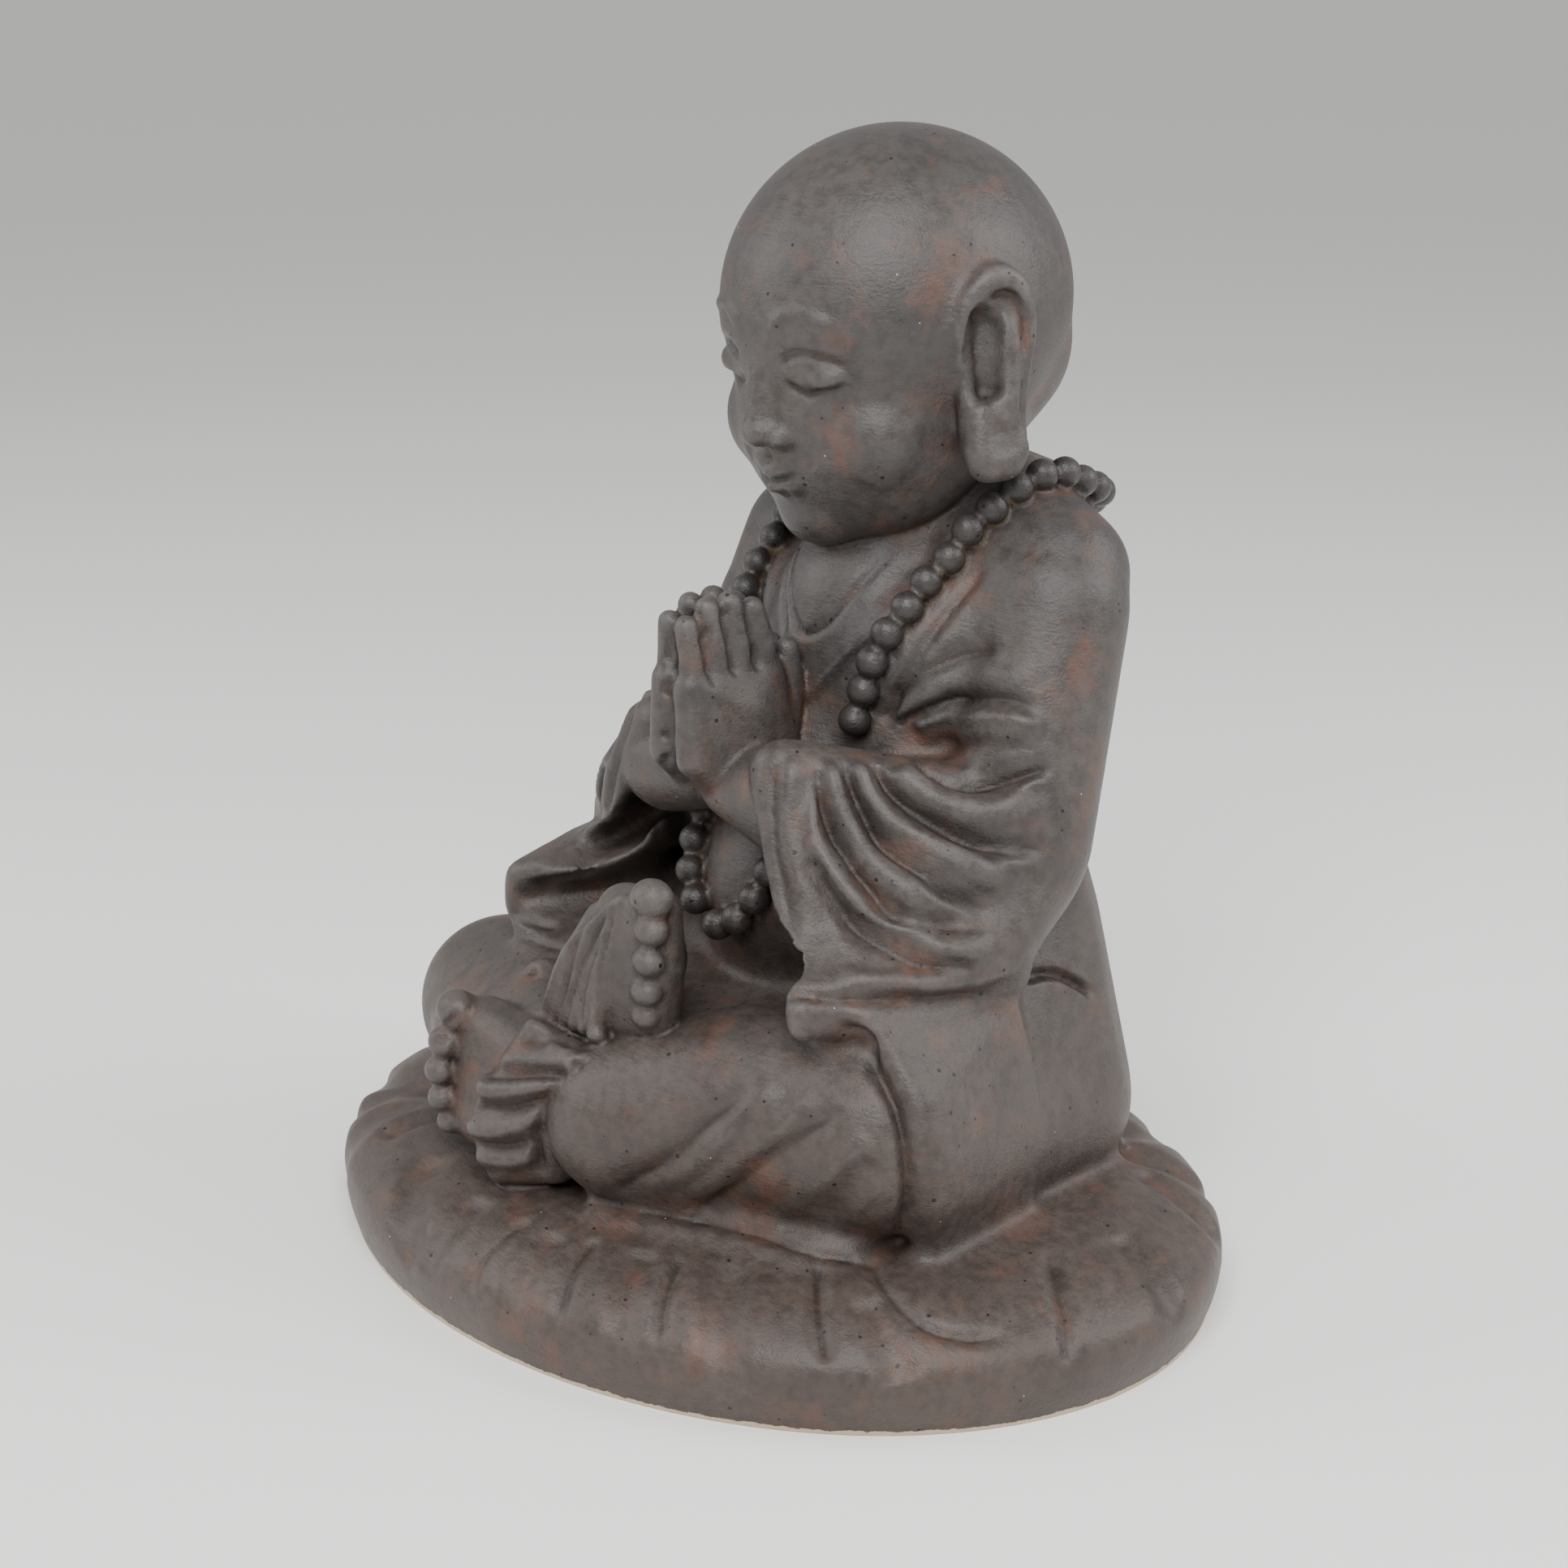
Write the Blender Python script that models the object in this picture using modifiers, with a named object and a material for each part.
"""A garden statue of a child monk at prayer, seated cross-legged on a round pleated cushion.

The statue is one casting. The monk faces -Y, his left side is at +X, and the underside of the
cushion lies on the ground at z = 0. The cushion and the beads have sizes of their own. The monk
is modelled in parts: one part is a 454th of his height above the seat, a millimetre at true size.
"""

import math

import bmesh
import bpy
import numpy as np
from mathutils import Matrix, Vector
from mathutils.bvhtree import BVHTree
from mathutils.kdtree import KDTree

# Sizes in metres
FIGURE_HEIGHT = 0.454
SEAT_HEIGHT = 0.046
CUSHION_WIDTH = 0.448
CUSHION_DEPTH = 0.350
CUSHION_HEIGHT = 0.050
CUSHION_BULGE_HEIGHT = 0.021
CUSHION_FOOT_INSET = 0.006
CUSHION_CREST_INSET = 0.068
CUSHION_TURN = 12.0
MONK_SHIFT = (0.003, 0.007)
PLEAT_WIDTH = 0.015
PLEAT_DEPTH = 0.0040
CREASE_WIDTH = 0.007
CREASE_DEPTH = 0.0022
BEAD_DIAMETER = 0.0142
BEAD_SPACING = 0.0140
PLEATS = 31

# How fine the clay is while the forms are joined and rubbed smooth, and how many faces are left
BODY_GRAIN = 0.0030
FINE_GRAIN = 0.0018
CAST_GRAIN = 0.0021
FACES = 9600
FINE_FACTOR = 0.02
FINE_WEIGHT = 0.5
BEAD_WEIGHT = 0.9

# Heights on the monk are read from the foot of the statue, where his seat is at 46 parts
PARTS_TALL = 454
SEAT_PARTS = 46
PART = FIGURE_HEIGHT / PARTS_TALL


def place(x, y, z):
    """A point on the monk, from parts to metres."""
    return Vector((MONK_SHIFT[0] + x * PART, MONK_SHIFT[1] + y * PART, SEAT_HEIGHT + (z - SEAT_PARTS) * PART))


# Modelling in clay: balls wrapped in a tight skin, joined and rubbed smooth

def mirrored(balls):
    return [(-x, y, z, r) for x, y, z, r in balls]


def add_hull(clay, balls):
    """Adds the tight skin round a few balls, given as x, y, z and radius in parts."""
    skin = bmesh.new()
    for x, y, z, radius in balls:
        spot = Matrix.Translation(place(x, y, z))
        bmesh.ops.create_icosphere(skin, subdivisions=3, radius=radius * PART, matrix=spot)
    bmesh.ops.delete(skin, geom=skin.edges[:], context="EDGES_FACES")
    bmesh.ops.convex_hull(skin, input=skin.verts[:], use_existing_faces=False)
    loose = [vertex for vertex in skin.verts if not vertex.link_faces]
    bmesh.ops.delete(skin, geom=loose, context="VERTS")
    carrier = bpy.data.meshes.new("skin")
    skin.to_mesh(carrier)
    skin.free()
    clay.from_mesh(carrier)
    bpy.data.meshes.remove(carrier)


def add_pair(clay, balls):
    """A form and its mirror image."""
    add_hull(clay, balls)
    add_hull(clay, mirrored(balls))


def add_spread(clay, balls):
    """One form right across the body, from the balls of its left half."""
    add_hull(clay, list(balls) + mirrored(balls))


def add_chain(clay, balls):
    """A limb or roll: each ball is wrapped together with the next."""
    for first, second in zip(balls, balls[1:]):
        add_hull(clay, [first, second])


def add_chain_pair(clay, balls):
    add_chain(clay, balls)
    add_chain(clay, mirrored(balls))


def add_roll(clay, balls, steps=4):
    """A roll along a smooth curve through a few balls, with its mirror image."""
    run = smooth_path(balls, steps)
    add_chain_pair(clay, [tuple(ball) for ball in run])


def add_egg(clay, centre, radii, nod=0.0):
    """An ellipsoid in parts, nodding forward by an angle in degrees."""
    turn = Matrix.Rotation(math.radians(nod), 4, "X")
    size = Matrix.Diagonal((radii[0] * PART, radii[1] * PART, radii[2] * PART, 1.0))
    spot = Matrix.Translation(place(*centre))
    bmesh.ops.create_icosphere(clay, subdivisions=4, radius=1.0, matrix=spot @ turn @ size)


def to_object(clay, name, collection):
    mesh = bpy.data.meshes.new(name)
    clay.to_mesh(mesh)
    clay.free()
    body = bpy.data.objects.new(name, mesh)
    collection.objects.link(body)
    return body


def apply_modifiers(body):
    """Replaces a mesh by what its modifiers make of it."""
    depsgraph = bpy.context.evaluated_depsgraph_get()
    shaped = bpy.data.meshes.new_from_object(body.evaluated_get(depsgraph))
    body.modifiers.clear()
    old = body.data
    body.data = shaped
    bpy.data.meshes.remove(old)


def fuse(body, grain, rubs=0, hand=0.5):
    """Joins overlapping forms into one skin of even grain, and rubs it smooth."""
    remesh = body.modifiers.new("join", "REMESH")
    remesh.mode = "VOXEL"
    remesh.voxel_size = grain
    remesh.adaptivity = 0.0
    if rubs:
        smooth = body.modifiers.new("rub", "SMOOTH")
        smooth.factor = hand
        smooth.iterations = rubs
    apply_modifiers(body)


def cut(body, cutter):
    boolean = body.modifiers.new("cut", "BOOLEAN")
    boolean.operation = "DIFFERENCE"
    boolean.solver = "EXACT"
    boolean.object = cutter
    apply_modifiers(body)


def absorb(body, others):
    """Moves the meshes of other objects into one."""
    clay = bmesh.new()
    clay.from_mesh(body.data)
    for other in others:
        clay.from_mesh(other.data)
        bpy.data.objects.remove(other)
    clay.to_mesh(body.data)
    clay.free()


# Carving: strokes of a tool along a path laid on the surface

def read_surface(body):
    count = len(body.data.vertices)
    points = np.empty(count * 3)
    normals = np.empty(count * 3)
    body.data.vertices.foreach_get("co", points)
    body.data.vertices.foreach_get("normal", normals)
    return points.reshape(-1, 3), normals.reshape(-1, 3)


def smooth_path(path, steps=10):
    """Points along a smooth curve through a few given ones."""
    knots = np.array([path[0]] + list(path) + [path[-1]], dtype=float)
    run = []
    for a, b, c, d in zip(knots, knots[1:], knots[2:], knots[3:]):
        for t in np.arange(steps) / steps:
            run.append(0.5 * (2 * b + (c - a) * t + (2 * a - 5 * b + 4 * c - d) * t * t
                              + (3 * b - a - 3 * c + d) * t ** 3))
    run.append(knots[-1])
    return np.array(run)


def carve(body, strokes):
    """Moves the surface in or out along a set of strokes.

    A stroke is a path in metres, a width, a height (negative cuts in) and a kind. A groove or
    ridge is even on both sides. A lap stands up sharply on its left and fades to its right, as
    the edge of one layer of cloth on another.
    """
    points, normals = read_surface(body)
    tree = BVHTree.FromObject(body, bpy.context.evaluated_depsgraph_get())
    moved = points.copy()
    for path, width, height, kind in strokes:
        run = np.array([tree.find_nearest(Vector(p))[0] for p in smooth_path(path)])
        low = run.min(axis=0) - width
        high = run.max(axis=0) + width
        near = np.nonzero(((points > low) & (points < high)).all(axis=1))[0]
        if len(near) == 0:
            continue
        start = run[:-1]
        along = run[1:] - start
        span = (along ** 2).sum(axis=1) + 1e-12
        offset = points[near][:, None, :] - start[None]
        share = np.clip((offset * along[None]).sum(axis=2) / span, 0.0, 1.0)
        gap = offset - share[..., None] * along[None]
        reach = np.sqrt((gap ** 2).sum(axis=2))
        best = reach.argmin(axis=1)
        rows = np.arange(len(near))
        far = reach[rows, best] / width
        progress = (best + share[rows, best]) / len(start)
        fade = np.minimum(1.0, np.minimum(progress, 1.0 - progress) * 5.0)
        fade = fade * fade * (3 - 2 * fade)
        if kind.endswith("lap"):
            heading = along[best] / np.sqrt(span[best])[:, None]
            side = np.cross(heading, normals[near]) * (-1.0 if kind.startswith("far") else 1.0)
            signed = (gap[rows, best] * side).sum(axis=1) / width
            rise = np.clip(signed / 0.16 + 0.5, 0.0, 1.0)
            body_of = np.clip(1.0 - np.clip(signed, 0.0, 1.0), 0.0, 1.0) ** 2
            bump = np.where(far < 1.0, rise * body_of, 0.0)
        else:
            bump = np.where(far < 1.0, (1.0 - far ** 2) ** 2, 0.0)
        moved[near] += normals[near] * (bump * fade * height)[:, None]
    body.data.vertices.foreach_set("co", moved.ravel())
    body.data.update()


def on_monk(points):
    return [place(*point) for point in points]


def stroke(points, width, height, kind="groove"):
    """A stroke on the monk, in parts."""
    return on_monk(points), width * PART, height * PART, kind


def mirror_points(points):
    return [(-x, y, z) for x, y, z in points]


def both_sides(points, width, height, kind="groove"):
    """The same stroke on the left and the right of the body."""
    far_kind = {"lap": "far lap"}.get(kind, kind)
    return [stroke(points, width, height, kind), stroke(mirror_points(points), width, height, far_kind)]


# The monk's body, robe and crossed legs

def model_body():
    clay = bmesh.new()
    # trunk, from the chest down to the hips
    add_spread(clay, [(54, 86, 290, 46), (38, 56, 272, 42), (38, 110, 322, 32)])
    add_hull(clay, [(0, 54, 290, 46), (0, 50, 240, 50), (30, 54, 230, 46), (-30, 54, 230, 46)])
    add_spread(clay, [(54, 84, 288, 46), (50, 68, 200, 46), (30, 96, 200, 42)])
    add_spread(clay, [(50, 68, 200, 45), (62, 80, 150, 43), (30, 100, 140, 42), (22, 20, 168, 48)])
    add_hull(clay, [(0, 16, 168, 52), (0, 40, 240, 42), (0, 34, 120, 52)])
    # neck, the thick collar at its nape and the slope of the shoulders
    add_hull(clay, [(0, 72, 350, 40), (0, 76, 300, 52)])
    add_chain_pair(clay, [(0, 128, 334, 21), (36, 118, 335, 20), (56, 88, 335, 17), (50, 58, 326, 10)])
    add_spread(clay, [(30, 94, 330, 34), (80, 90, 314, 31)])
    # the skirt of the robe round the hips
    add_spread(clay, [(62, 80, 150, 43), (30, 100, 140, 42), (81, 76, 74, 50), (98, 4, 80, 46),
                      (0, 95, 74, 50), (70, 20, 110, 46)])
    # shoulders and upper arms
    add_pair(clay, [(50, 86, 312, 34), (86, 82, 302, 33)])
    add_pair(clay, [(86, 82, 302, 33), (105, 50, 206, 30), (95, 64, 250, 32)])
    # left leg, in front: knee, shin and ankle
    add_hull(clay, [(112, -32, 98, 46), (62, -62, 98, 44)])
    add_hull(clay, [(62, -62, 98, 44), (20, -99, 88, 38)])
    # right leg: knee, and the shin that passes behind the left foot
    add_hull(clay, [(-147, -59, 78, 43), (-84, -20, 88, 46)])
    add_hull(clay, [(-147, -59, 78, 43), (-80, -84, 82, 38), (-30, -98, 98, 32)])
    # the lap between them
    add_hull(clay, [(-60, -40, 84, 42), (60, -40, 84, 42), (0, -60, 92, 34), (0, 20, 90, 44)])
    # the front edge of the robe's skirt, laid over the left thigh
    for first, second, near, far in zip(SKIRT_EDGE, SKIRT_EDGE[1:], SKIRT_CLOTH, SKIRT_CLOTH[1:]):
        add_hull(clay, [first, second, near, far])
    model_sleeve(clay, LEFT_SLEEVE)
    model_sleeve(clay, mirrored(RIGHT_SLEEVE), far=True)
    return clay


# The skirt's front edge from the lap down to the cushion, and the cloth that runs back from it

SKIRT_EDGE = ((121, -52, 158, 4), (133, -45, 141, 5), (149, -42, 123, 5.5), (157, -40, 102, 5.5),
              (156, -38, 82, 6), (146, -34, 62, 6), (142, -33, 48, 7))
SKIRT_CLOTH = ((112, 24, 160, 8), (120, 26, 140, 8), (128, 28, 120, 8), (133, 28, 98, 8), (135, 28, 78, 8),
               (132, 26, 62, 9), (130, 24, 50, 10))


# The wide sleeves: the edge of each mouth from the wrist down to the lap, and the cloth behind it.
# The right sleeve is given as its mirror image: it hangs steeper and spreads lower on the thigh.

LEFT_SLEEVE = [(48, -37, 240, 15), (61, -47, 212, 9), (69, -52, 192, 7), (79, -57, 180, 6.5),
               (93, -62, 169, 6), (108, -74, 160, 6.5), (109, -74, 151, 6)]
RIGHT_SLEEVE = [(46, -35, 240, 14), (62, -42, 213, 8.5), (65, -44, 194, 7), (69, -50, 180, 6.5),
                (88, -58, 164, 6), (114, -72, 156, 6.5), (119, -69, 139, 7), (92, -75, 126, 8),
                (70, -72, 124, 7)]
SLEEVE_CLOTH = [[(105, 50, 206, 30), (74, 0, 206, 18)], [(105, 48, 199, 29), (100, -8, 194, 19)],
                [(106, 46, 194, 27), (122, 22, 174, 17), (84, 0, 178, 14)],
                [(122, 22, 172, 16), (118, -16, 170, 10), (94, -10, 160, 9)],
                [(122, 24, 168, 15), (120, -20, 162, 10), (100, -14, 154, 9)],
                [(118, 26, 158, 15), (118, -26, 154, 9), (96, -16, 146, 9)],
                [(118, -20, 148, 10), (96, -16, 140, 9)],
                [(104, -20, 138, 9), (76, -16, 134, 9)]]


def model_sleeve(clay, mouth, far=False):
    """Cloth stretched from each length of the mouth's edge back to the arm and the side of the robe."""
    for first, second, cloth in zip(mouth, mouth[1:], SLEEVE_CLOTH):
        add_hull(clay, [first, second] + (mirrored(cloth) if far else cloth))


def model_sleeve_hollow():
    """The space under both forearms, inside the sleeve mouths."""
    clay = bmesh.new()
    add_pair(clay, [(20, -60, 214, 8), (40, -62, 200, 7), (56, -8, 206, 10), (86, 4, 196, 9)])
    add_pair(clay, [(40, -62, 200, 7), (57, -62, 188, 6), (80, -8, 192, 8), (58, -12, 204, 10)])
    add_pair(clay, [(50, -68, 188, 6), (98, -74, 166, 3), (92, -30, 172, 5), (58, -66, 172, 6),
                    (84, -10, 182, 6)])
    return clay


# The head: shaven, bowed a little, with long ears

HEAD_CENTRE = (0, 62, 427)
HEAD_BOW = 7.0


def on_head(x, y, z):
    """A point given from the head's centre, on the head as it is bowed."""
    angle = math.radians(HEAD_BOW)
    back = y * math.cos(angle) - z * math.sin(angle)
    up = y * math.sin(angle) + z * math.cos(angle)
    return HEAD_CENTRE[0] + x, HEAD_CENTRE[1] + back, HEAD_CENTRE[2] + up


def head_balls(balls):
    return [on_head(x, y, z) + (r,) for x, y, z, r in balls]


def model_skull():
    """The skull, the round cheeks and the jaw."""
    clay = bmesh.new()
    add_egg(clay, HEAD_CENTRE, (74, 80.5, 75.5), HEAD_BOW)
    add_egg(clay, on_head(0, -21, -42), (61, 57, 61), HEAD_BOW)
    add_hull(clay, head_balls([(34, -4, -30, 34), (-34, -4, -30, 34), (28, 8, -56, 28), (-28, 8, -56, 28)]))
    for side in (1, -1):
        add_egg(clay, on_head(side * 32, -44, -46), (27, 25, 27))
    # nape
    add_hull(clay, head_balls([(12, 30, -22, 46), (-12, 30, -22, 46), (0, 30, -50, 34)]))
    # chin, and the soft roll under it
    add_egg(clay, on_head(0, -50, -82), (23, 20, 18))
    add_hull(clay, head_balls([(0, -30, -82, 24), (0, 8, -80, 30)]))
    # forehead over the eyes
    add_hull(clay, head_balls([(22, -54, 2, 22), (-22, -54, 2, 22), (0, -60, 8, 20)]))
    return clay


def model_features():
    """Nose, lips and closed lids, and the ears."""
    clay = bmesh.new()
    add_hull(clay, head_balls([(0, -73, -4, 6), (0, -80, -38, 7)]))
    add_egg(clay, on_head(0, -81, -41), (9, 8.5, 7.5))
    for side in (1, -1):
        add_egg(clay, on_head(side * 9, -76, -43), (6.5, 7.5, 6))
        add_egg(clay, on_head(side * 28, -61, -17), (15, 13, 9))
    add_hull(clay, head_balls([(0, -75, -60, 5.5), (15, -70, -59, 3.5), (-15, -70, -59, 3.5)]))
    add_hull(clay, head_balls([(0, -74, -67, 6), (10, -70, -65, 5), (-10, -70, -65, 5)]))
    model_ears(clay)
    return clay


def model_ears(clay):
    """Long ears: a flat plate, a rolled rim, a broad inner ridge and a heavy lobe."""
    add_pair(clay, [(68, 46, 436, 6), (70, 60, 438, 6), (72, 64, 405, 7), (70, 45, 398, 6), (72, 48, 374, 8),
                    (73, 64, 374, 8)])
    add_roll(clay, [(69, 40, 408, 3), (70, 38, 422, 4.5), (72, 43, 437, 5.5), (75, 53, 444, 6),
                    (77, 63, 440, 5.5), (78, 68, 425, 5), (77, 67, 405, 4.5), (76, 65, 388, 5)])
    add_roll(clay, [(74, 55, 429, 3), (76, 59, 423, 5), (77, 60, 410, 6), (77, 58, 397, 7), (77, 55, 386, 8)])
    add_pair(clay, [(75, 47, 390, 6), (76, 60, 390, 6), (78, 61, 372, 8), (76, 47, 372, 8), (77, 58, 367, 8),
                    (77, 49, 367, 8)])


def face_strokes():
    """Brow, lids, mouth, chin and ears, cut with a fine tool."""
    strokes = []
    for side in (1, -1):
        brow = [(side * 10, -80, 4), (side * 24, -78, 12), (side * 43, -66, 6)]
        lid = [(side * 14, -76, -19), (side * 27, -74, -25), (side * 42, -62, -18)]
        fold = [(side * 13, -76, -11), (side * 27, -74, -6), (side * 43, -60, -12)]
        smile = [(side * 13, -76, -46), (side * 24, -72, -57)]
        for points, width, height in ((brow, 4, 1.6), (lid, 3.2, -2.6), (fold, 4, -2.2), (smile, 7, -1.4)):
            strokes.append(stroke([on_head(*point) for point in points], width, height))
    lips = [(-17, -74, -60), (-6, -80, -64), (0, -82, -63), (6, -80, -64), (17, -74, -60)]
    under = [(-12, -76, -75), (0, -78, -76), (12, -76, -75)]
    dip = [(0, -84, -49), (0, -80, -55)]
    strokes.append(stroke([on_head(*point) for point in lips], 3, -2.8))
    strokes.append(stroke([on_head(*point) for point in under], 6, -2.2))
    strokes.append(stroke([on_head(*point) for point in dip], 4, -1.6))
    # the hollow of each ear, and the channel inside its rim
    strokes += both_sides([(73, 48, 432), (74, 47, 418), (75, 47, 406), (76, 49, 393)], 8.5, -9)
    strokes += both_sides([(76, 50, 435), (78, 57, 437), (80, 64, 430), (80, 65, 410)], 3.5, -3)
    return strokes


# Hands pressed together, and the bare forearms in the sleeves

FINGERS = ((-56, 274, -59, 298, 6.0), (-43, 277, -47, 308, 6.6), (-30, 278, -34, 310, 6.8),
           (-17, 275, -21, 303, 6.4))


def model_hands():
    clay = bmesh.new()
    for root_y, root_z, tip_y, tip_z, radius in FINGERS:
        add_pair(clay, [(8, root_y, root_z - 8, radius + 0.8), (8, root_y, root_z + 8, radius)])
        add_pair(clay, [(8, root_y, root_z + 8, radius), (6, tip_y, tip_z - 5, radius - 0.8)])
    # the backs of the hands
    add_pair(clay, [(8, -56, 272, 8), (8, -16, 272, 8), (10, -55, 240, 9), (11, -14, 240, 11),
                    (11, -30, 258, 11), (11, -34, 226, 14)])
    # thumbs
    add_pair(clay, [(9, -10, 240, 9), (7, -2, 262, 6.5)])
    add_pair(clay, [(7, -2, 262, 6.5), (6, -3, 280, 5.5)])
    # wrists and forearms
    add_pair(clay, [(12, -33, 226, 18), (48, -26, 221, 25)])
    add_pair(clay, [(48, -26, 221, 25), (100, 40, 204, 27)])
    return clay


def hand_strokes():
    """The line between the palms, and the gaps between the fingers."""
    strokes = [stroke([(0, -66, 222), (0, -66, 260), (0, -62, 294)], 3, -3)]
    gaps = zip(FINGERS, FINGERS[1:])
    for first, second in gaps:
        for side in (1, -1):
            root = (side * 15, (first[0] + second[0]) / 2, first[1] + 1)
            tip = (side * 12, (first[2] + second[2]) / 2, min(first[3], second[3]) - 3)
            strokes.append(stroke([root, tip], 2.2, -2))
    return strokes


# Feet, turned up across the legs, with the gathered ends of the trousers

def add_toes(clay, toes):
    """Toes in a row, the first the largest, each with a ball of the foot behind it."""
    for x, y, z, radius in toes:
        add_egg(clay, (x, y, z), (radius * 1.25, radius * 1.1, radius))


LEFT_TOES = ((-66, -134, 118, 9.5), (-68, -140, 103, 7.5), (-68, -143, 90, 7), (-67, -143, 77, 6.5),
             (-64, -141, 66, 6))
RIGHT_TOES = ((38, -98, 193, 9), (40, -100, 180, 7.2), (39, -101, 166, 7), (37, -101, 152, 6.8),
              (35, -100, 140, 6.2))


def model_feet():
    clay = bmesh.new()
    # left foot, low in front, with its sole turned out
    add_toes(clay, LEFT_TOES)
    add_hull(clay, [(-60, -124, 112, 12), (-59, -130, 68, 12), (-20, -116, 100, 22), (-18, -120, 72, 22)])
    # right foot, raised across the lap
    add_toes(clay, RIGHT_TOES)
    add_hull(clay, [(30, -90, 183, 11), (32, -92, 160, 12.5), (29, -92, 137, 12), (6, -90, 176, 13),
                    (2, -94, 150, 16), (2, -92, 128, 16)])
    add_hull(clay, [(2, -84, 152, 24), (-24, -84, 118, 24)])
    # flared cuff of the left trouser leg, in soft folds that spread from the twist at its top
    for right, left in LEFT_CUFF:
        add_hull(clay, [right, left, (2, -108, right[2], 18)])
    add_hull(clay, [(20, -124, 119, 6), (-22, -121, 122, 4), (-16, -127, 112, 5), (4, -112, 112, 12)])
    # gathered cuff of the right trouser leg, with its pleats
    add_hull(clay, [(14, -92, 182, 8), (-4, -95, 170, 9), (-14, -98, 152, 10), (-24, -101, 128, 10),
                    (4, -101, 130, 12), (6, -98, 152, 11)])
    for number in range(CUFF_PLEATS):
        share = number / (CUFF_PLEATS - 1)
        run = smooth_path([(17 - 10 * share, -99 - 4 * share, 187 - 8 * share, 2.6),
                           (15 - 27 * share, -107 - 2 * share, 158 - 2 * share, 3.2),
                           (12 - 39 * share, -111 + share, 128 - 5 * share, 4.2)], 4)
        add_chain(clay, [tuple(ball) for ball in run])
    # knot of cloth on the right thigh
    add_hull(clay, [(-64, -88, 119, 13), (-46, -90, 116, 12)])
    return clay


CUFF_PLEATS = 6
LEFT_CUFF = (((13, -124, 110, 8), (-25, -137, 99, 10)), ((6, -125, 95, 9.5), (-28, -138, 80, 10.5)),
             ((-2, -123, 70, 10), (-25, -136, 62, 10.5)))



def foot_strokes():
    # the crease between the left cuff and the shin, and the hollow of the flap turned up over it
    strokes = [stroke([(14, -134, 108), (2, -138, 88), (-6, -136, 66), (-9, -132, 50)], 5, -5),
               stroke([(-22, -130, 120), (-8, -136, 115), (10, -134, 114)], 6, -3)]
    # the twist of cloth where the cuff meets the shin, and the hole in the knot on the thigh
    strokes.append(stroke([(32, -132, 122), (26, -134, 120), (20, -134, 117)], 5, -6))
    strokes.append(stroke([(-58, -100, 131), (-68, -98, 130)], 4, -5))
    # the fold behind each big toe
    strokes.append(stroke([(-50, -142, 124), (-58, -148, 112), (-66, -150, 108)], 3, -2.5))
    return strokes


# The string of beads

BEAD_PATH = ((0, 160, 326), (36, 149, 333), (57, 124, 341), (65, 88, 345), (61, 55, 338), (54, 35, 319),
             (49, 20, 299), (44, 6, 280), (38, -3, 262), (34, -14, 230), (30, -32, 194), (26, -38, 176),
             (14, -41, 162), (0, -42, 157))


def bead_places(body):
    """Centres of the beads, evenly spaced along the string, sunk a little into the robe."""
    tree = BVHTree.FromObject(body, bpy.context.evaluated_depsgraph_get())
    run = smooth_path(on_monk(BEAD_PATH), 120)
    centres = []
    for point in run:
        surface, normal, _, _ = tree.find_nearest(Vector(point))
        centre = surface + normal * BEAD_DIAMETER * 0.30
        if not centres or (centre - centres[-1]).length >= BEAD_SPACING:
            centres.append(centre)
    mirrored_centres = [Vector((2 * MONK_SHIFT[0] - c.x, c.y, c.z)) for c in centres[1:-1]]
    return centres + mirrored_centres


def model_beads(centres):
    clay = bmesh.new()
    for centre in centres:
        bmesh.ops.create_icosphere(clay, subdivisions=3, radius=BEAD_DIAMETER / 2,
                                   matrix=Matrix.Translation(centre))
    return clay


# The cushion

def cushion_point(share, height, angle):
    """A point of the cushion, at a share of its half width and at a height."""
    x = math.sin(angle) * share * CUSHION_WIDTH / 2
    y = -math.cos(angle) * share * CUSHION_DEPTH / 2
    turn = math.radians(CUSHION_TURN)
    return Vector((x * math.cos(turn) - y * math.sin(turn), x * math.sin(turn) + y * math.cos(turn), height))


def model_cushion():
    """Half the cushion's section, spun round, pressed to an oval and turned under the monk."""
    half = CUSHION_WIDTH / 2
    below = 0.020
    bulge = CUSHION_BULGE_HEIGHT
    crest = CUSHION_CREST_INSET
    outline = [(0.0, -below), (half - CUSHION_FOOT_INSET, -below), (half - CUSHION_FOOT_INSET, 0.0),
               (half - CUSHION_FOOT_INSET * 0.35, bulge * 0.45), (half, bulge), (half - 0.002, bulge + 0.010),
               (half - crest * 0.16, CUSHION_HEIGHT - 0.012), (half - crest * 0.35, CUSHION_HEIGHT - 0.006),
               (half - crest * 0.7, CUSHION_HEIGHT - 0.001), (half - crest, CUSHION_HEIGHT),
               (half * 0.5, CUSHION_HEIGHT), (0.0, CUSHION_HEIGHT)]
    clay = bmesh.new()
    vertices = [clay.verts.new((x, 0.0, z)) for x, z in outline]
    edges = [clay.edges.new(pair) for pair in zip(vertices, vertices[1:])]
    bmesh.ops.spin(clay, geom=vertices + edges, cent=(0, 0, 0), axis=(0, 0, 1), angle=math.tau, steps=120,
                   use_merge=True)
    bmesh.ops.remove_doubles(clay, verts=clay.verts[:], dist=0.0001)
    bmesh.ops.scale(clay, vec=(1.0, CUSHION_DEPTH / CUSHION_WIDTH, 1.0), verts=clay.verts[:])
    turn = Matrix.Rotation(math.radians(CUSHION_TURN), 3, "Z")
    bmesh.ops.rotate(clay, cent=(0, 0, 0), matrix=turn, verts=clay.verts[:])
    bmesh.ops.recalc_face_normals(clay, faces=clay.faces[:])
    return clay


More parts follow.
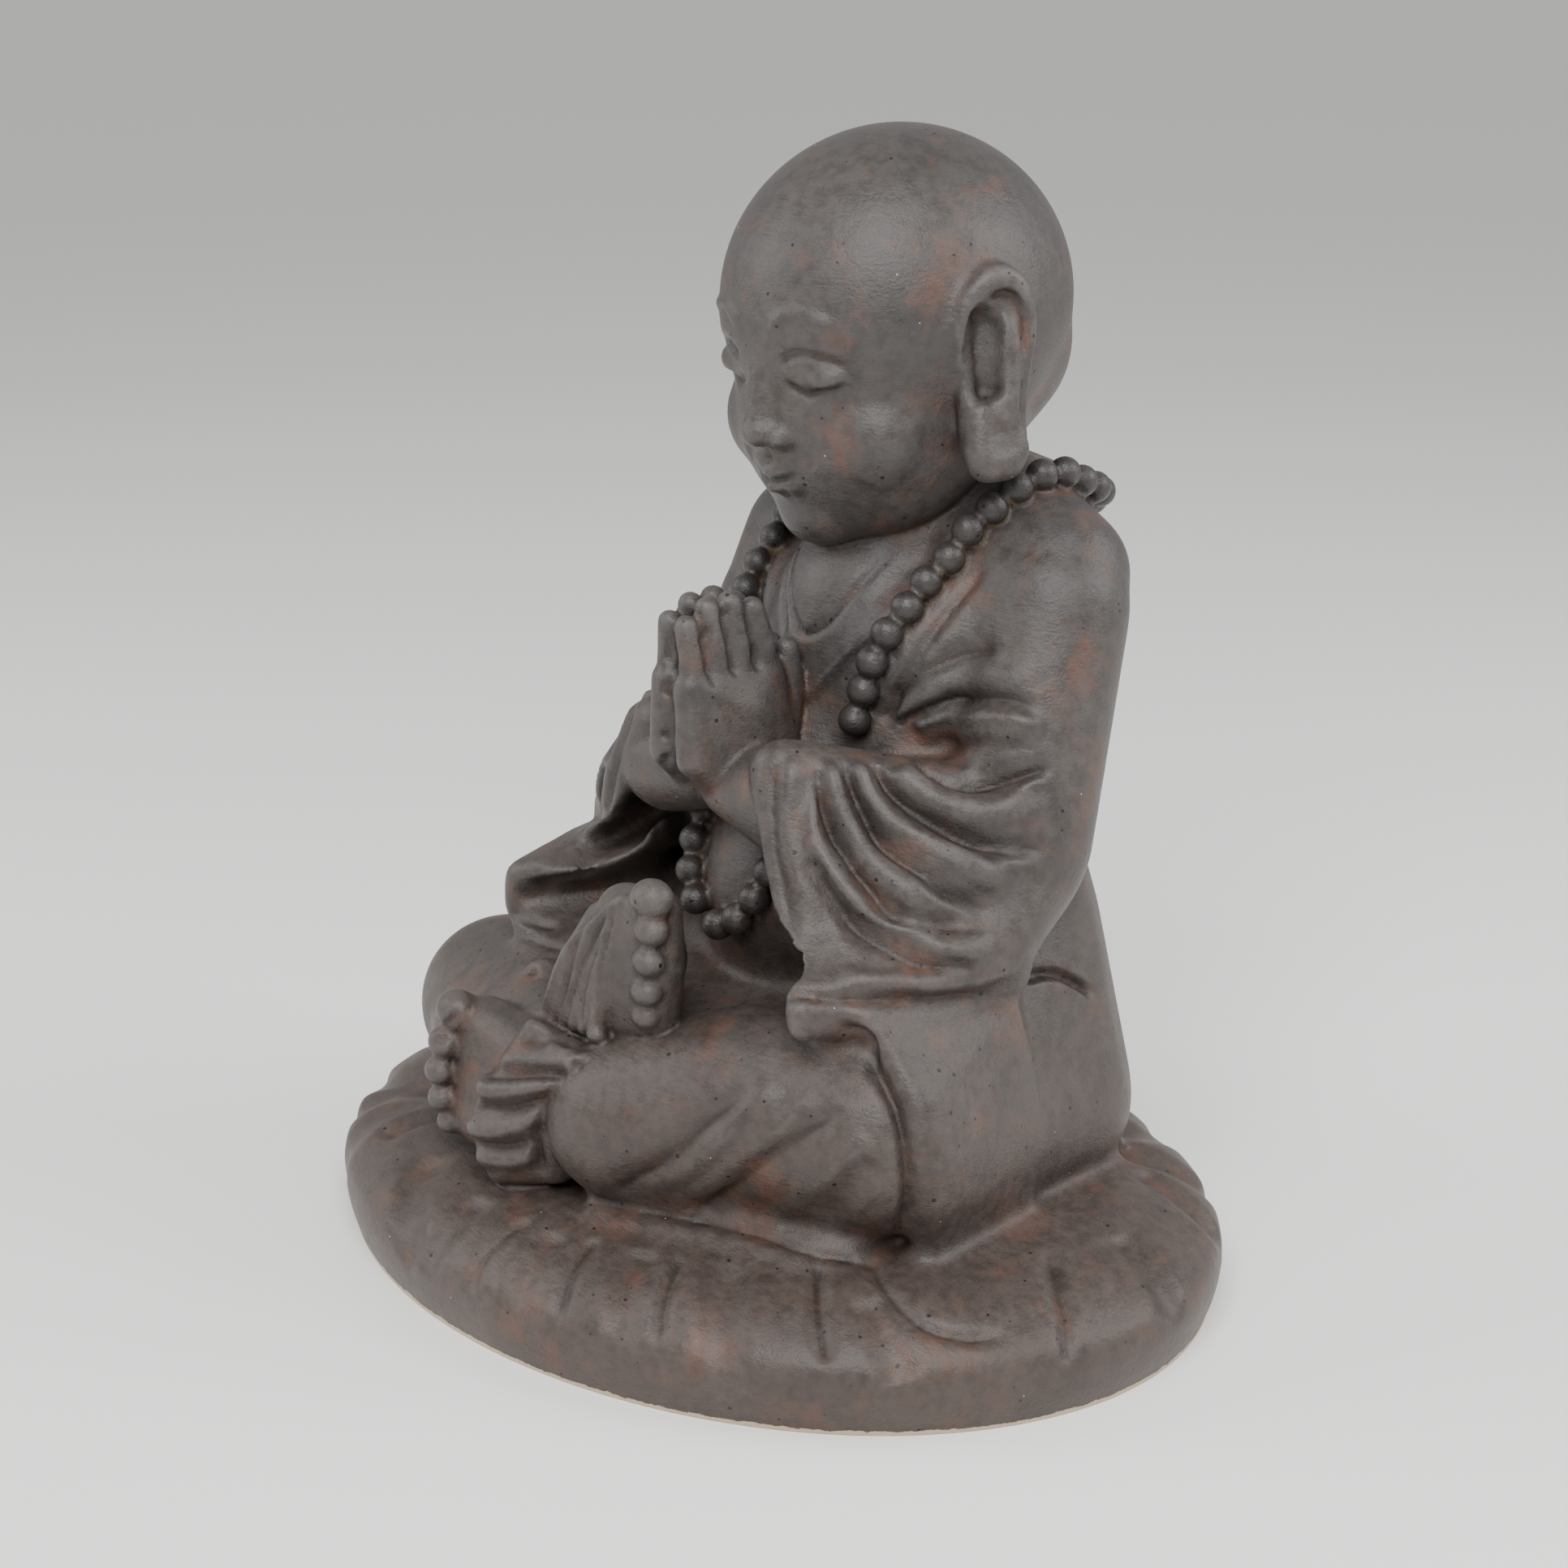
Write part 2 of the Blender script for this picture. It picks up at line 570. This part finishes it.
def cushion_pleats():
    """Soft folds gathered over the crest, all round, and a few sharp creases between them."""
    strokes = []
    for number in range(PLEATS):
        angle = math.tau * (number + 0.35 * math.sin(number * 2.3)) / PLEATS
        twist = 0.06 * math.sin(number * 1.7)
        reach = 0.14 * math.cos(number * 3.1)
        path = [cushion_point(0.70, CUSHION_HEIGHT, angle - twist * 2),
                cushion_point(0.85, CUSHION_HEIGHT, angle - twist),
                cushion_point(0.95, CUSHION_HEIGHT * 0.85, angle),
                cushion_point(0.99, CUSHION_HEIGHT * 0.60, angle + twist),
                cushion_point(1.00, CUSHION_HEIGHT * (0.24 + reach), angle + twist * 1.6)]
        depth = PLEAT_DEPTH * (0.60 + 0.40 * math.sin(number * 1.3))
        strokes.append((path, PLEAT_WIDTH, -depth, "groove"))
    for crease in CREASES:
        path = [cushion_point(share, height * CUSHION_HEIGHT, math.radians(angle))
                for angle, share, height in crease]
        strokes.append((path, CREASE_WIDTH, -CREASE_DEPTH, "groove"))
    return strokes


# Each crease runs through places given by an angle from the front in degrees, a share of the
# cushion's half width and a share of its height
CREASES = (((36, 0.78, 1.00), (39, 0.91, 0.92), (41, 0.99, 0.68)),
           ((46, 0.80, 1.00), (51, 0.91, 0.90), (56, 0.96, 0.80), (62, 0.93, 0.86)),
           ((-36, 0.86, 0.98), (-31, 0.93, 0.92), (-25, 0.99, 0.72), (-20, 0.99, 0.68)),
           ((-62, 0.80, 1.00), (-66, 0.93, 0.90), (-70, 0.99, 0.66)),
           ((112, 0.80, 1.00), (116, 0.92, 0.90), (114, 0.99, 0.66)),
           ((205, 0.80, 1.00), (209, 0.93, 0.90), (214, 0.99, 0.66)),
           ((262, 0.82, 1.00), (258, 0.93, 0.90), (252, 0.99, 0.70)))

BODY_NAME = "praying_monk"
FINE_PLACES = ((0, -10, 385, 60), (0, -32, 270, 48), (-58, -145, 92, 40), (40, -98, 168, 40))


def drapery():
    """Folds, collars and hems of the robe."""
    # sleeves: folds spring from the forearm and the crook of the arm and sweep round to the back of the hem
    crests = (([(51, -45, 252), (56, -54, 232), (68, -58, 206), (82, -62, 190), (97, -68, 179)], 9, 3),
              ([(54, -31, 254), (76, -50, 219), (88, -50, 197), (105, -44, 180), (126, -34, 172),
                (134, 8, 175)], 14, 6),
              ([(66, -13, 252), (76, -25, 239), (96, -22, 213), (112, -18, 205)], 10, 4),
              ([(70, 0, 252), (85, -9, 246), (107, 4, 222), (120, 15, 213), (129, 34, 209)], 11, 5),
              ([(84, 5, 246), (98, 5, 239), (110, 14, 233), (126, 42, 236)], 7, 3),
              ([(56, 20, 248), (81, 33, 264), (106, 36, 265), (124, 50, 250)], 12, 6))
    valleys = (([(57, -43, 251), (63, -51, 235), (71, -55, 215), (83, -55, 195), (103, -59, 180)], 7, -3),
               ([(62, -25, 253), (73, -32, 240), (95, -37, 210), (108, -26, 192), (124, -8, 182)], 11, -5),
               ([(60, -2, 252), (76, -15, 246), (101, -5, 219), (118, 3, 210), (127, 21, 204)], 10, -5),
               ([(75, 6, 247), (92, 2, 239), (106, 10, 234), (116, 28, 231)], 7, -3),
               ([(66, 18, 249), (88, 22, 250), (108, 30, 247), (120, 40, 243)], 9, -5),
               ([(48, 16, 248), (56, 20, 268), (62, 27, 286), (67, 41, 305), (73, 56, 324)], 4, -3),
               ([(50, 17, 248), (59, 26, 264), (74, 38, 283), (98, 50, 301)], 5, -3.5),
               ([(53, 20, 250), (69, 31, 265), (92, 42, 277), (111, 51, 284)], 6, -3))
    strokes = []
    for points, width, height in crests:
        strokes += both_sides(points, width, height, "ridge")
    for points, width, height in valleys:
        strokes += both_sides(points, width, height)
    # collars: the crossing bands of the robe, and the round neck of the shirt under them
    collar = [(57, 44, 324), (50, 24, 306), (40, 10, 290), (26, 2, 271), (10, -5, 250)]
    strokes += both_sides(collar, 20, 3, "lap")
    strokes += both_sides(collar, 3.5, -2.5)
    neckline = [(-33, 42, 334), (-18, 17, 309), (-9, 7, 294), (4, 3, 285), (18, 9, 292), (29, 24, 314),
                (36, 42, 334)]
    strokes.append(stroke(neckline, 3.5, -3.5))
    strokes.append(stroke([(-44, 44, 332), (-30, 20, 311), (-20, 9, 296), (-10, 0, 281)], 3.5, -3.5))
    # the crease under the front edge of the skirt, and the slits under the sleeves
    crease = [(118, -62, 158), (128, -54, 140), (145, -53, 124), (153, -53, 104), (150, -50, 82),
              (134, -44, 56)]
    strokes.append(stroke(crease, 4.5, -4.5))
    strokes += both_sides([(128, 34, 158), (113, 66, 144), (113, 88, 129)], 4, -6)
    # wrinkles that run down across the shins
    for top, middle, low in (((104, -70, 134), (82, -97, 104), (36, -113, 61)),
                             ((114, -76, 122), (86, -98, 90), (44, -105, 53)),
                             ((127, -74, 110), (100, -84, 78), (72, -77, 50))):
        strokes.append(stroke([top, middle, low], 11, -3.5))
        lifted = [(x - 7, y - 2, z + 11) for x, y, z in (top, middle, low)]
        strokes.append(stroke(lifted, 12, 1.5, "ridge"))
    for lean in (0, 20, 42):
        top = (-118 + lean, -92, 122)
        low = (-160 + lean, -96, 66)
        strokes.append(stroke([top, ((top[0] + low[0]) / 2 + 4, -100, 96), low], 11, -3))
    return strokes


def level_underside(body):
    """Cuts the casting flat at the ground and closes it with one face."""
    clay = bmesh.new()
    clay.from_mesh(body.data)
    geometry = clay.verts[:] + clay.edges[:] + clay.faces[:]
    bmesh.ops.bisect_plane(clay, geom=geometry, dist=0.00001, plane_co=(0, 0, 0), plane_no=(0, 0, 1),
                           clear_inner=True)
    rim = [edge for edge in clay.edges if edge.is_boundary]
    for edge in rim:
        for vertex in edge.verts:
            vertex.co.z = 0.0
    bmesh.ops.edgeloop_fill(clay, edges=rim)
    bmesh.ops.recalc_face_normals(clay, faces=clay.faces[:])
    clay.to_mesh(body.data)
    clay.free()


def fine_work(body, centres):
    """A vertex group of what keeps its small facets: the beads, the face, the hands and the feet."""
    points, _ = read_surface(body)
    keep = np.zeros(len(points))
    for x, y, z, reach in FINE_PLACES:
        away = np.linalg.norm(points - np.array(place(x, y, z)), axis=1)
        keep[away < reach * PART] = FINE_WEIGHT
    beads = KDTree(len(centres))
    for number, centre in enumerate(centres):
        beads.insert(centre, number)
    beads.balance()
    for number, point in enumerate(points):
        if beads.find(Vector(point))[2] < BEAD_DIAMETER * 0.55:
            keep[number] = BEAD_WEIGHT
    group = body.vertex_groups.new(name="fine_work")
    for weight in (FINE_WEIGHT, BEAD_WEIGHT):
        group.add([int(n) for n in np.nonzero(keep == weight)[0]], weight, "REPLACE")
    return group.name


def finish_casting(body, centres):
    """Brings the joined casting down to few faces and levels its underside."""
    group = fine_work(body, centres)
    thin = body.modifiers.new("facets", "DECIMATE")
    thin.vertex_group = group
    thin.invert_vertex_group = True
    thin.vertex_group_factor = FINE_FACTOR
    thin.ratio = FACES / (2 * len(body.data.polygons))
    apply_modifiers(body)
    level_underside(body)
    body.data.shade_smooth()


def paint(body):
    """Cast stone resin stained dark brown, matt."""
    stone = bpy.data.materials.new("dark_cast_stone")
    stone.use_nodes = True
    shader = stone.node_tree.nodes["Principled BSDF"]
    shader.inputs["Base Color"].default_value = (0.050, 0.042, 0.040, 1.0)
    shader.inputs["Roughness"].default_value = 0.55
    shader.inputs["Metallic"].default_value = 0.0
    body.data.materials.append(stone)


def main():
    for leftover in list(bpy.data.objects):
        bpy.data.objects.remove(leftover)
    works = bpy.data.collections.new("praying_monk_statue")
    tools = bpy.data.collections.new("cutters")
    bpy.context.scene.collection.children.link(works)
    bpy.context.scene.collection.children.link(tools)
    body = to_object(model_body(), BODY_NAME, works)
    fuse(body, BODY_GRAIN)
    hollow = to_object(model_sleeve_hollow(), "sleeve_hollow", tools)
    hollow.hide_render = True
    hollow.display_type = "WIRE"
    fuse(hollow, BODY_GRAIN)
    cut(body, hollow)
    absorb(body, [to_object(model_cushion(), "cushion", works)])
    fuse(body, BODY_GRAIN, rubs=8)
    carve(body, drapery() + cushion_pleats())
    centres = bead_places(body)
    beads = to_object(model_beads(centres), "beads", works)
    head = to_object(model_skull(), "head", works)
    fuse(head, BODY_GRAIN, rubs=12)
    absorb(head, [to_object(model_features(), "features", works)])
    fuse(head, FINE_GRAIN, rubs=4)
    carve(head, face_strokes())
    hands = to_object(model_hands(), "hands", works)
    fuse(hands, FINE_GRAIN, rubs=2)
    carve(hands, hand_strokes())
    feet = to_object(model_feet(), "feet", works)
    fuse(feet, FINE_GRAIN, rubs=2)
    carve(feet, foot_strokes())
    absorb(body, [head, hands, feet, beads])
    fuse(body, CAST_GRAIN)
    finish_casting(body, centres)
    paint(body)


main()
